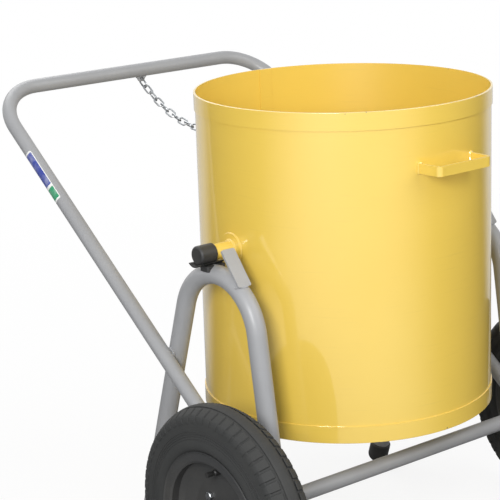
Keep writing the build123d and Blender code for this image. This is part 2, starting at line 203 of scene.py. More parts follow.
def empty_tree(owner: Material | bpy.types.World) -> NodeAdder:
    """Give a material or a world an empty node tree.

    Args:
        owner: The material or the world.

    Returns:
        What adds a node to the tree.
    """
    owner.use_nodes = True
    owner.node_tree.nodes.clear()
    return partial(add_node, owner.node_tree)


@dataclass
class Surface:
    """A material's surface while its finish builds it.

    Attributes:
        node: Adds a node to the material's tree.
        place: Object coordinates in metres.
        cloud: Noise of the finish's clouds.
        inputs: Inputs of the principled shader by name.
        layers: Cover and hex colour of each layer, the lowest first.
    """

    node: NodeAdder
    place: Socket
    cloud: Socket
    inputs: dict[str, Any]
    layers: list[tuple[Socket, str]]


@dataclass(frozen=True)
class Finish:
    """A finish that builds its own material on Object coordinates: clouds of a second colour over a fine grain."""

    name: str
    colour: str
    second: str
    roughness: float
    gloss_spread: Span = (0.0, 0.0)
    specular: float = 0.5
    metallic: float = 0.0
    cloud_mm: float = 50.0
    cloud_detail: float = 4.0
    cloud_span: Span = (0.35, 0.75)
    cloud_mix: float = 0.35
    # Orange peel, grain and drawing lines are coarser than life, so that they show
    grain_mm: float = 1.0
    grain_detail: float = 1.0
    grain_depth_mm: float = 0.0
    grain_strength: float = 1.0

    def build(self) -> Material:
        """Make the material: layers of colour on a principled surface.

        Returns:
            The material.
        """
        material = bpy.data.materials.new(self.name)
        node = empty_tree(material)
        place = node("ShaderNodeTexCoord", out="Object")
        clouds = {"Vector": place, "Scale": per_metre(self.cloud_mm), "Detail": self.cloud_detail}
        cloud = node("ShaderNodeTexNoise", clouds)
        gloss = (self.roughness + change for change in self.gloss_spread)
        inputs = {
            "Roughness": node("ShaderNodeMapRange", (cloud, *NOISE_SPAN, *gloss)),
            "Specular IOR Level": self.specular,
            "Metallic": self.metallic,
        }
        if self.grain_depth_mm:
            grains = {"Vector": place, "Scale": per_metre(self.grain_mm), "Detail": self.grain_detail}
            height = node("ShaderNodeTexNoise", grains)
            skin = {"Strength": self.grain_strength, "Distance": self.grain_depth_mm * MM, "Height": height}
            inputs["Normal"] = node("ShaderNodeBump", skin)
        layers = [(node("ShaderNodeMapRange", (cloud, *self.cloud_span, 0.0, self.cloud_mix)), self.second)]
        self.wear(Surface(node, place, cloud, inputs, layers))
        colour: Any = linear(self.colour)
        for cover, code in layers:
            colour = node("ShaderNodeMix", {0: cover, 6: colour, 7: linear(code)}, 2, data_type="RGBA")
        shader = node("ShaderNodeBsdfPrincipled", {"Base Color": colour, **inputs})
        node("ShaderNodeOutputMaterial", {"Surface": shader})
        return material

    def wear(self, surface: Surface) -> None:
        """Add what else lies on the surface; a plain finish has nothing.

        Args:
            surface: The surface so far, which this may change.
        """


@dataclass(frozen=True)
class Enamel(Finish):
    """Sprayed and baked enamel on steel: even colour under a clear gloss, faint orange peel, small edge chips."""

    gloss_spread: Span = (-0.04, 0.06)
    cloud_mix: float = 0.5
    grain_mm: float = 6.0
    grain_depth_mm: float = 0.03
    bare: str = "#6B6A68"
    coat: float = 0.0
    coat_roughness: float = 0.2
    coat_ior: float = 1.5
    chip_mm: float = 7.0
    chip_level: float = 0.9
    chip_ramp: float = 0.03
    chip_depth_mm: float = 0.12
    chip_dullness: float = 0.25
    patch_mm: float = 120.0
    patch_pull: float = 0.25
    worn_heights: tuple[float, ...] = ()
    worn_width_mm: float = 8.0
    edge_pull: float = 0.14
    scuff_mm: tuple[float, float, float] = (70.0, 70.0, 2.5)
    scuff_span: Span = (0.62, 0.74)
    scuff_mix: float = 0.06
    dust: str = "#8F887A"
    dust_top: float = 0.0
    dust_mix: float = 0.3

    def wear(self, surface: Surface) -> None:
        """Add scuffs, dust, chips and the clear coat.

        Args:
            surface: The surface so far, which this changes.
        """
        node, place, inputs, layers = surface.node, surface.place, surface.inputs, surface.layers
        scuff_scale = tuple(per_metre(size_mm) for size_mm in self.scuff_mm)
        scuff_place = node("ShaderNodeMapping", {"Vector": place, "Scale": scuff_scale})
        scuff = node("ShaderNodeTexNoise", {"Vector": scuff_place, "Scale": 1.0, "Detail": 2.0})
        layers.append((node("ShaderNodeMapRange", (scuff, *self.scuff_span, 0.0, self.scuff_mix)), self.bare))
        height = node("ShaderNodeSeparateXYZ", (place,), "Z")
        if self.dust_top:
            low = node("ShaderNodeMapRange", (height, 0.0, self.dust_top, self.dust_mix, 0.0))
            layers.append((node("ShaderNodeMath", (low, surface.cloud), operation="MULTIPLY"), self.dust))
        grit = {"Vector": place, "Scale": per_metre(self.chip_mm), "Detail": 3.0, "Roughness": 0.6}
        patch = node("ShaderNodeTexNoise", {"Vector": place, "Scale": per_metre(self.patch_mm), "Detail": 2.0})
        worn = (patch, self.patch_pull, node("ShaderNodeTexNoise", grit))
        level = node("ShaderNodeMath", worn, operation="MULTIPLY_ADD")
        for worn_height in self.worn_heights:
            offset = node("ShaderNodeMath", (height, worn_height), operation="SUBTRACT")
            away = node("ShaderNodeMath", (offset,), operation="ABSOLUTE")
            edge = node("ShaderNodeMapRange", (away, 0.0, self.worn_width_mm * MM, self.edge_pull, 0.0))
            level = node("ShaderNodeMath", (level, edge), operation="ADD")
        chip = node("ShaderNodeMapRange", (level, self.chip_level, self.chip_level + self.chip_ramp, 0.0, 1.0))
        layers.append((chip, self.bare))
        dull = (chip, self.chip_dullness, inputs["Roughness"])
        pits = {"Distance": self.chip_depth_mm * MM, "Height": chip, "Normal": inputs["Normal"]}
        inputs |= {
            "Roughness": node("ShaderNodeMath", dull, operation="MULTIPLY_ADD"),
            "Normal": node("ShaderNodeBump", pits, invert=True),
            "Coat Weight": self.coat,
            "Coat Roughness": self.coat_roughness,
            "Coat IOR": self.coat_ior,
        }


@dataclass(frozen=True)
class Rubber(Finish):
    """Moulded black rubber: dull, with fine grain and a thin grey bloom that gathers in patches."""

    gloss_spread: Span = (-0.06, 0.08)
    cloud_mm: float = 28.0
    cloud_detail: float = 5.0
    grain_mm: float = 1.6
    grain_detail: float = 2.0
    grain_depth_mm: float = 0.05


@dataclass(frozen=True)
class TyreRubber(Rubber):
    """Carbon black tyre rubber: dull, with fine turned mould lines on the wall and dust on the running tread."""

    axle: Span = (0.0, 0.0)
    crown: float = 0.185
    worn_mm: float = 14.0
    dust: str = "#6E6A63"
    dust_mm: float = 18.0
    dust_mix: float = 0.1
    line_mm: float = 2.6
    line_depth_mm: float = 0.12
    line_strength: float = 0.35

    def wear(self, surface: Surface) -> None:
        """Add dust and mould lines.

        Args:
            surface: The surface so far, which this changes.
        """
        node, place = surface.node, surface.place
        axes = node("ShaderNodeSeparateXYZ", (place,)).node.outputs
        y, z = (node("ShaderNodeMath", (axes[i], at), operation="SUBTRACT") for i, at in enumerate(self.axle, 1))
        square = node("ShaderNodeMath", (y, y), operation="MULTIPLY")
        square = node("ShaderNodeMath", (z, z, square), operation="MULTIPLY_ADD")
        radius = node("ShaderNodeMath", (square,), operation="SQRT")
        worn = node("ShaderNodeMapRange", (radius, self.crown - self.worn_mm * MM, self.crown, 0.0, self.dust_mix))
        patch = node("ShaderNodeTexNoise", {"Vector": place, "Scale": per_metre(self.dust_mm), "Detail": 6.0})
        surface.layers.append((node("ShaderNodeMath", (worn, patch), operation="MULTIPLY"), self.dust))
        phase = node("ShaderNodeMath", (radius, math.tau * per_metre(self.line_mm)), operation="MULTIPLY")
        lines = node("ShaderNodeMath", (phase,), operation="SINE")
        skin = {"Strength": self.line_strength, "Distance": self.line_depth_mm * MM, "Height": lines}
        surface.inputs["Normal"] = node("ShaderNodeBump", {**skin, "Normal": surface.inputs["Normal"]})


@dataclass(frozen=True)
class PlatedSteel(Finish):
    """Plated or ground steel: grey metal with soft clouding, fine drawing lines and dull spots."""

    gloss_spread: Span = (-0.08, 0.12)
    metallic: float = 1.0
    cloud_mm: float = 9.0
    cloud_span: Span = (0.4, 0.7)
    cloud_mix: float = 0.7
    grain_mm: float = 0.8
    grain_depth_mm: float = 0.02
    grain_strength: float = 0.5


@dataclass(frozen=True)
class LabelVinyl(Finish):
    """Printed vinyl label: plain colour bars on white, a little faded, under a thin gloss film."""

    PRINT = "print"

    gloss_spread: Span = (0.0, 0.15)
    cloud_mm: float = 14.0
    cloud_span: Span = (0.4, 0.8)
    bars: tuple[tuple[str, Span], ...] = (("#2F9468", (0.03, 0.25)), ("#34449A", (0.3, 0.97)))
    bar_width: Span = (0.08, 0.92)

    def wear(self, surface: Surface) -> None:
        """Put the bars under the clouds that fade them.

        Args:
            surface: The surface so far, which this changes.
        """
        node = surface.node
        on_label = node("ShaderNodeSeparateXYZ", (node("ShaderNodeUVMap", uv_map=self.PRINT),)).node.outputs
        for code, bar_length in self.bars:
            inside = (
                node("ShaderNodeMath", (axis, (start + end) / 2, (end - start) / 2), operation="COMPARE")
                for axis, (start, end) in zip(on_label, (bar_length, self.bar_width))
            )
            surface.layers.insert(0, (node("ShaderNodeMath", tuple(inside), operation="MULTIPLY"), code))


class PatternTree:
    """A geometry node group with named inputs that is run on a piece and gives a plain mesh."""

    def __init__(self, name: str, inputs: Mapping[str, str]) -> None:
        """Start the group.

        Args:
            name: Name of the group.
            inputs: Socket types of the named inputs.
        """
        self.tree = bpy.data.node_groups.new(name, "GeometryNodeTree")
        face = self.tree.interface
        face.new_socket("Geometry", in_out="INPUT", socket_type="NodeSocketGeometry")
        self.identifiers = {
            label: face.new_socket(label, in_out="INPUT", socket_type=kind).identifier
            for label, kind in (*inputs.items(), ("Material", "NodeSocketMaterial"))
        }
        face.new_socket("Geometry", in_out="OUTPUT", socket_type="NodeSocketGeometry")
        self.node = partial(add_node, self.tree)
        self.given = self.node("NodeGroupInput").node.outputs

    def close(self, geometry: Socket) -> None:
        """End the group by making its instances real and giving them their material.

        Args:
            geometry: What the group has made.
        """
        real = self.node("GeometryNodeRealizeInstances", {"Geometry": geometry})
        dressed = self.node("GeometryNodeSetMaterial", {"Geometry": real, "Material": self.given["Material"]})
        self.node("NodeGroupOutput", (dressed,))

    def run(self, mesh: Mesh, material: Material, **values: Any) -> Mesh:
        """Run the group on a mesh.

        Args:
            mesh: The group's geometry input.
            material: Material of the result.
            values: Named inputs, with _ for the spaces in their names.

        Returns:
            The result as a plain mesh.
        """
        carrier = put(mesh.name, mesh)
        modifier = carrier.modifiers.new(self.tree.name, "NODES")
        modifier.node_group = self.tree
        for label, value in {**values, "Material": material}.items():
            modifier[self.identifiers[label.replace("_", " ")]] = value
        graph = bpy.context.evaluated_depsgraph_get()
        made = bpy.data.meshes.new_from_object(carrier.evaluated_get(graph))
        carrier.modifiers.remove(modifier)
        bpy.data.objects.remove(carrier)
        return made


class RingPattern(PatternTree):
    """Copies a mesh round a wheel's axle, which runs along X."""

    def __init__(self) -> None:
        """Build the group."""
        kinds = {"Count": "NodeSocketInt", "Phase": "NodeSocketFloat", "Centre": "NodeSocketVector"}
        super().__init__("ring_pattern", kinds)
        count, phase, centre = (self.given[label] for label in kinds)
        step = self.node("ShaderNodeMath", (math.tau, count), operation="DIVIDE")
        number = self.node("GeometryNodeInputIndex")
        turn = self.node("ShaderNodeMath", (number, step, phase), operation="MULTIPLY_ADD")
        copies = {
            "Points": self.node("GeometryNodePoints", {"Count": count, "Position": centre}),
            "Instance": self.given["Geometry"],
            "Rotation": self.node("ShaderNodeCombineXYZ", {"X": turn}),
        }
        self.close(self.node("GeometryNodeInstanceOnPoints", copies))


class PlacePattern(PatternTree):
    """Copies a piece to each point of a mesh, turned by the point's own attribute."""

    TURN = "turn"

    def __init__(self) -> None:
        """Build the group."""
        super().__init__("place_pattern", {"Piece": "NodeSocketObject"})
        copies = {
            "Points": self.given["Geometry"],
            "Instance": self.node("GeometryNodeObjectInfo", {"Object": self.given["Piece"]}, "Geometry"),
            "Rotation": self.node("GeometryNodeInputNamedAttribute", {"Name": self.TURN}, data_type="QUATERNION"),
        }
        self.close(self.node("GeometryNodeInstanceOnPoints", copies))

    def copies(self, mesh: Mesh, places: Sequence[Matrix], material: Material) -> Mesh:
        """Copy a mesh to given places.

        Args:
            mesh: What is copied.
            places: Where each copy goes and how it is turned.
            material: Material of the copies.

        Returns:
            All copies as one plain mesh.
        """
        points = bpy.data.meshes.new(mesh.name + "_places")
        points.from_pydata([place.translation for place in places], [], [])
        turns = points.attributes.new(self.TURN, "QUATERNION", "POINT")
        for value, place in zip(turns.data, places):
            value.value = place.to_quaternion()
        piece = bpy.data.objects.new(mesh.name, mesh)
        made = self.run(points, material, Piece=piece)
        bpy.data.objects.remove(piece)
        return made


@dataclass
class WeldPath:
    """Line that a weld bead follows."""

    points: np.ndarray
    closed: bool = True


class WeldPattern(PatternTree):
    """Lays a rippled weld bead along the edges of a mesh."""

    RIPPLE_PITCH = 2.6 * MM
    STEPS_IN_RIPPLE = 5.0
    SIDES = 8
    LEAST_SIZE = 0.72
    SWELL = 0.35
    SWELL_MM = 7.0

    def __init__(self) -> None:
        """Build the group."""
        labels = ("Bead Radius", "Ripple Pitch", "Ripple Depth")
        super().__init__("weld_pattern", dict.fromkeys(labels, "NodeSocketFloat"))
        radius, pitch, depth = (self.given[label] for label in labels)
        path = self.node("GeometryNodeMeshToCurve", {"Mesh": self.given["Geometry"]})
        step = self.node("ShaderNodeMath", (pitch, self.STEPS_IN_RIPPLE), operation="DIVIDE")
        path = self.node("GeometryNodeResampleCurve", {"Curve": path, "Length": step}, mode="LENGTH")
        length = self.node("GeometryNodeSplineParameter", out="Length")
        phase = self.node("ShaderNodeMath", (length, pitch), operation="DIVIDE")
        ripple = self.node("ShaderNodeMath", (phase,), operation="FRACT")
        swell = self.node("ShaderNodeTexNoise", {"Scale": per_metre(self.SWELL_MM), "Detail": 1.0})
        size = self.node("ShaderNodeMath", (ripple, depth, self.LEAST_SIZE), operation="MULTIPLY_ADD")
        size = self.node("ShaderNodeMath", (swell, self.SWELL, size), operation="MULTIPLY_ADD")
        ring = self.node("GeometryNodeCurvePrimitiveCircle", {"Resolution": self.SIDES, "Radius": radius})
        bead = {"Curve": path, "Profile Curve": ring, "Scale": size, "Fill Caps": True}
        self.close(self.node("GeometryNodeCurveToMesh", bead))

    def beads(self, paths: Sequence[WeldPath], material: Material, radius: float, ripple_depth: float) -> Mesh:
        """Lay beads along paths.

        Args:
            paths: The lines that the beads follow.
            material: Material of the beads.
            radius: Radius of a bead.
            ripple_depth: Swell of a ripple, as a share of the radius.

        Returns:
            The beads as one plain mesh.
        """
        edges = []
        first = 0
        for path in paths:
            last = first + len(path.points) - 1
            edges += [(i, i + 1) for i in range(first, last)]
            if path.closed:
                edges.append((last, first))
            first = last + 1
        mesh = bpy.data.meshes.new("weld_path")
        mesh.from_pydata(np.concatenate([path.points for path in paths]), edges, [])
        ripple = {"Ripple_Pitch": self.RIPPLE_PITCH, "Ripple_Depth": ripple_depth}
        return self.run(mesh, material, Bead_Radius=radius, **ripple)


def build_mesh(name: str, points: Iterable[Sequence[float]], faces: Iterable[Sequence[int]]) -> Mesh:
    """Make a closed mesh whose faces point outwards.

    Args:
        name: Name of the mesh.
        points: Corners in metres.
        faces: Corner numbers of each face.

    Returns:
        The mesh, with double corners merged.
    """
    mesh = bpy.data.meshes.new(name)
    mesh.from_pydata(list(points), [], list(faces))
    work = bmesh.new()
    work.from_mesh(mesh)
    bmesh.ops.remove_doubles(work, verts=work.verts, dist=SAME_PLACE)
    bmesh.ops.recalc_face_normals(work, faces=work.faces)
    work.to_mesh(mesh)
    work.free()
    return mesh


def grid_faces(rows: int, columns: int, wrap_rows: bool, wrap_columns: bool) -> list[tuple[int, ...]]:
    """List the faces of a grid of corners numbered row by row.

    Args:
        rows: Number of rows.
        columns: Corners in a row.
        wrap_rows: Whether the last row joins the first.
        wrap_columns: Whether each row closes on itself.

    Returns:
        Four corner numbers for each face.
    """
    corners = ((0, 0), (0, 1), (1, 1), (1, 0))
    return [
        tuple((i + down) % rows * columns + (j + across) % columns for down, across in corners)
        for i in range(rows if wrap_rows else rows - 1)
        for j in range(columns if wrap_columns else columns - 1)
    ]


def turned_mesh(name: str, profile: Sequence[Span], steps: int, flat: float = math.inf) -> Mesh:
    """Turn a profile about X.

    Args:
        name: Name of the mesh.
        profile: Points (x, r) in metres, from axis to axis or else with the last joined to the first.
        steps: Corners round the axis.
        flat: Distance from the axis to the sides of a hexagon that trims the mesh.

    Returns:
        The turned mesh.
    """
    angle = np.arange(steps)[:, None] * math.tau / steps
    from_flat = (angle + math.pi / 6) % (math.pi / 3) - math.pi / 6
    x, radius = np.array(profile).T
    radius = np.minimum(radius, flat / np.cos(from_flat))
    hollow = profile[0][1] > 0
    faces = grid_faces(steps, len(profile), True, hollow)
    return build_mesh(name, points_at(x, radius * np.sin(angle), radius * np.cos(angle)), faces)


def joined(meshes: Iterable[Mesh], material: Material) -> Mesh:
    """Join meshes into one with one material.

    Args:
        meshes: What is joined.
        material: Material of all faces.

    Returns:
        The joined mesh.
    """
    work = bmesh.new()
    for mesh in meshes:
        work.from_mesh(mesh)
    for face in work.faces:
        face.material_index = 0
    whole = bpy.data.meshes.new("joined")
    work.to_mesh(whole)
    work.free()
    whole.materials.append(material)
    return whole


def islands(node: bpy.types.Object) -> list[np.ndarray]:
    """Split a CAD node's mesh into its separate solids.

    Args:
        node: The CAD node.

    Returns:
        Corner coordinates of each solid, in metres.
    """
    work = bmesh.new()
    work.from_mesh(node.data)
    bmesh.ops.remove_doubles(work, verts=work.verts, dist=SAME_PLACE)
    unseen = set(work.verts)
    found = []
    for start in work.verts:
        if start not in unseen:
            continue
        unseen.discard(start)
        group = [start]
        for corner in group:
            for edge in corner.link_edges:
                other = edge.other_vert(corner)
                if other in unseen:
                    unseen.discard(other)
                    group.append(other)
        found.append(np.array([corner.co for corner in group]))
    work.free()
    return found


@dataclass
class Assembly:
    """A set of CAD nodes that move as one body and are dressed together."""

    frame: dict[str, Any]
    materials: dict[Slot, Material]
    body: str = ""

    def dress(self, nodes: Iterable[str]) -> None:
        """Give CAD nodes the finishes that their slots name.

        Args:
            nodes: Names of the nodes.
        """
        for name in nodes:
            mesh = self.frame["nodes"][name].data
            for i, material in enumerate(mesh.materials):
                slot = Slot(material.name.split(".")[0])
                mesh.materials[i] = self.materials[slot]
                LOG.info("node %s: %s", name, slot.value)

    def add(self, name: str, mesh: Mesh, slot: Slot | None = None, replaced: Sequence[str] = ()) -> None:
        """Put a finished mesh in the scene as a piece that rides on this assembly's body.

        Args:
            name: Name of the piece.
            mesh: The piece, in its place.
            slot: Finish that the record names for it; not used.
            replaced: CAD nodes that it stands in for.
        """
        mesh.name = name
        piece = put(name, mesh)
        mesh.shade_smooth()
        mesh.set_sharp_from_angle(angle=SMOOTH_ANGLE)
        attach(piece, self.body)
        if replaced:
            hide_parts(*replaced)
        LOG.info("piece %s on %s: %d faces", name, self.body, len(mesh.polygons))


@dataclass
class CartFrame(Assembly):
    """Push handle, hoops, axle and what is welded to them."""

    body: str = "frame"
    hoop_bend: float = 93 * MM
    hoop_apex_ahead: float = 20 * MM
    rear_lean: float = math.radians(17.6)
    crossing_spread: float = 0.66
    stop_angle: float = math.radians(38.3)
    stop_start: float = 27 * MM
    stop_bow: float = 4.8 * MM
    stop_points: int = 17
    bead_radius: float = 2.4 * MM
    ripple_depth: float = 0.3
    path_steps: int = 40
    eye_steps: int = 20
    label_start: float = 243 * MM
    label_end: float = 333 * MM
    label_half_angle: float = math.radians(42)
    label_middle: float = math.radians(12)
    label_corner: float = 3 * MM
    label_lift: float = 0.12 * MM
    label_grid: tuple[int, int] = (13, 25)

    def __post_init__(self) -> None:
        """Read the sizes of the tubes from the CAD nodes."""
        hoop, hoop_half = box_of("left_hoop")
        trunnion, _ = box_of("left_trunnion")
        _, handle_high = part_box("push_handle")
        self.axle, axle_half = box_of("axle_tube")
        self.eye, eye_half = box_of("chain_eye")
        self.hoop_x, self.hoop_radius = hoop.x, hoop_half.x
        self.arc = hoop + hoop_half - Vector((0, 0, self.hoop_bend + self.hoop_radius))
        self.arc.y = trunnion.y - self.hoop_apex_ahead
        self.axle_radius = axle_half.z
        self.handle_radius = (handle_high.x - hoop.x - hoop_half.x) / 2
        self.side_x, self.bar_y, self.bar_z = (edge - self.handle_radius for edge in handle_high)
        self.handle_way = Vector((0, self.bar_y - self.axle.y, self.bar_z - self.axle.z)).normalized()
        self.eye_wire = eye_half.y
        self.eye_spread = eye_half.x - self.eye_wire

    def build(self, weld: WeldPattern) -> None:
        """Dress the frame's nodes and add its weld beads and label.

        Args:
            weld: Lays the beads.
        """
        paired = [side.prefix + name for name in ("hoop", "foot_cap", "stop_plate", "saddle") for side in Side]
        self.dress(["push_handle", *paired, "axle_tube", "axle_rod", "axle_washers", "cotter_pins", "chain_eye"])
        paths = self.eye_paths()
        for side in Side:
            paths += self.tube_paths(side) + [self.stop_path(side)]
        beads = weld.beads(paths, self.materials[Slot.GREY], self.bead_radius, self.ripple_depth)
        self.add("frame_weld_beads", beads, Slot.GREY)
        self.add("side_label", self.label())

    def by_handle(self, x: Numbers, along: Numbers, rise: Numbers) -> np.ndarray:
        """Give points by their X and their way from the axle, along the handle's side tubes and square to them."""
        _, y, z = self.handle_way
        return points_at(x, self.axle.y + y * along - z * rise, self.axle.z + z * along + y * rise)

    def tube_paths(self, side: Side) -> list[WeldPath]:
        """Run round the joints between the tubes of one side.

        Args:
            side: Side of the cart.

        Returns:
            Closed paths round the axle tube on both faces of the hoop's front leg, round the handle's coped end on
            the axle tube, and where the handle lies against the hoop's rear leg.
        """
        cos, sin = full_turn(self.path_steps)
        reach = self.arc - self.axle
        lean = math.atan2(reach.y, reach.z) - math.asin(self.hoop_bend / math.hypot(reach.y, reach.z))
        y, z = self.axle_radius * cos, self.axle_radius * sin
        inset = np.sqrt(self.hoop_radius**2 - (y * math.cos(lean) - z * math.sin(lean)) ** 2)
        joints = [
            points_at(side.value * (self.hoop_x + face * inset), self.axle.y + y, self.axle.z + z) for face in (-1, 1)
        ]
        rise = self.handle_radius * sin
        cope = np.sqrt(np.maximum(self.axle_radius**2 - rise**2, 0))
        joints.append(self.by_handle(side.value * (self.side_x + self.handle_radius * cos), cope, rise))
        leg_out = Vector((0, math.cos(self.rear_lean), math.sin(self.rear_lean)))
        along = (reach.dot(leg_out) + self.hoop_bend) / self.handle_way.dot(leg_out)
        spread = self.crossing_spread * self.handle_radius
        contact_x = side.value * (self.hoop_x + self.hoop_radius)
        joints.append(self.by_handle(contact_x, along + spread * cos, spread * sin))
        return [WeldPath(joint) for joint in joints]

    def stop_path(self, side: Side) -> WeldPath:
        """Run along the lower end of a stop plate, on the hoop's bend.

        Args:
            side: Side of the cart.

        Returns:
            The open path.
        """
        _, plate_half = box_of(side.prefix + "stop_plate")
        share = np.linspace(-1, 1, self.stop_points)
        offset = plate_half.x * share
        radius = self.hoop_bend + np.sqrt(self.hoop_radius**2 - offset**2)
        angle = self.stop_angle + np.arcsin((self.stop_start + self.stop_bow * share**2) / radius)
        y, z = self.arc.y - radius * np.cos(angle), self.arc.z + radius * np.sin(angle)
        return WeldPath(points_at(side.value * self.hoop_x + offset, y, z), closed=False)

    def eye_paths(self) -> list[WeldPath]:
        """Run round both legs of the chain's eye.

        Returns:
            Two closed paths under the crossbar.
        """
        cos, sin = full_turn(self.eye_steps)
        offset = self.eye_wire * sin
        z = self.bar_z - np.sqrt(self.handle_radius**2 - offset**2)
        legs = (self.eye.x - self.eye_spread, self.eye.x + self.eye_spread)
        return [WeldPath(points_at(x + self.eye_wire * cos, self.bar_y + offset, z)) for x in legs]

    def label(self) -> Mesh:
        """Make the plain label on the right side tube.

        Returns:
            A thin curved sheet with rounded corners and its own print coordinates.
        """
        rows, columns = self.label_grid
        half_width = self.handle_radius * self.label_half_angle
        half_length = (self.label_end - self.label_start) / (2 * self.handle_way.y)
        middle = ((self.label_start + self.label_end) / 2 - self.axle.y) / self.handle_way.y
        v = np.linspace(-1, 1, rows)[:, None]
        inset = np.maximum(0, abs(v) * half_width - (half_width - self.label_corner))
        trim = self.label_corner - np.sqrt(self.label_corner**2 - inset**2)
        u = np.linspace(-1, 1, columns) * (half_length - trim)
        angle = self.label_middle + v * self.label_half_angle
        sheets = [
            self.by_handle(-self.side_x - radius * np.cos(angle), middle + u, radius * np.sin(angle))
            for radius in (self.handle_radius + self.label_lift, self.handle_radius - self.label_lift)
        ]
        numbers = np.arange(rows * columns).reshape(rows, columns)
        rim = [*numbers[0], *numbers[1:, -1], *numbers[-1, -2::-1], *numbers[-2:0:-1, 0]]
        under = rows * columns
        faces = grid_faces(rows, columns, False, False)
        faces += [tuple(corner + under for corner in reversed(face)) for face in faces]
        faces += [(a, a + under, b + under, b) for a, b in zip(rim, rim[1:] + rim[:1])]
        mesh = build_mesh("side_label", np.concatenate(sheets), faces)
        prints = points_at((u / half_length + 1) / 2, (v + 1) / 2, 0)[:, :2]
        layer = mesh.uv_layers.new(name=LabelVinyl.PRINT)
        for loop in mesh.loops:
            layer.data[loop.index].uv = prints[loop.vertex_index % under]
        # Printed vinyl: a clean white patch with a blue and a green bar, a little glossier than the tube
        mesh.materials.append(LabelVinyl("printed_vinyl", "#E9EAE8", "#E9EAE8", 0.3).build())
        return mesh


@dataclass
class Drum(Assembly):
    """Sheet steel drum with its bands, trunnions and grab handles."""

    body: str = "drum"
    grab_strip: float = 4.8 * MM
    grab_step: float = 2 * MM
    grab_bead_radius: float = 2.2 * MM
    trunnion_bead_radius: float = 2.6 * MM
    doubler_bead_radius: float = 1.5 * MM
    ripple_depth: float = 0.22
    path_steps: int = 72

    def __post_init__(self) -> None:
        """Read the drum's sizes from the CAD nodes."""
        self.middle, half = box_of("drum_shell")
        self.radius = half.x
        _, doubler_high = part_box("left_doubler")
        self.doubler_face = doubler_high.x - self.middle.x

    def build(self, weld: WeldPattern) -> None:
        """Dress the drum's nodes and add its weld beads.

        Args:
            weld: Lays the beads.
        """
        paired = [side.prefix + name for name in ("trunnion", "doubler", "trunnion_cap") for side in Side]
        grabs = {"front_grab_handle": -1, "rear_grab_handle": 1}
        self.dress(["drum_shell", "rim_band", "base_band", "base_plate", *paired, *grabs])
        runs = (
            (self.trunnion_bead_radius, [self.ring_path(side, "trunnion", self.doubler_face) for side in Side]),
            (self.doubler_bead_radius, [self.ring_path(side, "doubler", self.radius) for side in Side]),
            (self.grab_bead_radius, [path for node, way in grabs.items() for path in self.grab_paths(node, way)]),
        )
        paint = self.materials[Slot.YELLOW]
        beads = [weld.beads(paths, paint, radius, self.ripple_depth) for radius, paths in runs]
        self.add("drum_weld_beads", joined(beads, paint), Slot.YELLOW)

    def ring_path(self, side: Side, node: str, wall_radius: float) -> WeldPath:
        """Run round a trunnion or its doubler, on a round wall about the drum's axis.

        Args:
            side: Side of the drum.
            node: The node's name without its side.
            wall_radius: Radius of the wall.

        Returns:
            The closed path.
        """
        _, half = box_of(side.prefix + node)
        trunnion, _ = box_of(side.prefix + "trunnion")
        y, z = (half.z * part for part in full_turn(self.path_steps))
        x = self.middle.x + side.value * np.sqrt(wall_radius**2 - y**2)
        return WeldPath(points_at(x, self.middle.y + y, trunnion.z + z))

    def grab_paths(self, node: str, way: int) -> list[WeldPath]:
        """Run round both feet of a grab handle.

        Args:
            node: The grab handle.
            way: In front of the drum (-1) or behind it (1).

        Returns:
            Two closed paths.
        """
        low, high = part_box(node)
        paths = []
        for outer, inner in ((low.x, low.x + self.grab_strip), (high.x, high.x - self.grab_strip)):
            corners = [(outer, low.z), (outer, high.z), (inner, high.z), (inner, low.z)]
            edges = []
            for start, end in zip(corners, corners[1:] + corners[:1]):
                count = max(2, round(math.dist(start, end) / self.grab_step))
                edges.append(np.linspace(start, end, count, endpoint=False))
            x, z = np.concatenate(edges).T
            y = self.middle.y + way * np.sqrt(self.radius**2 - (x - self.middle.x) ** 2)
            paths.append(WeldPath(points_at(x, y, z)))
        return paths


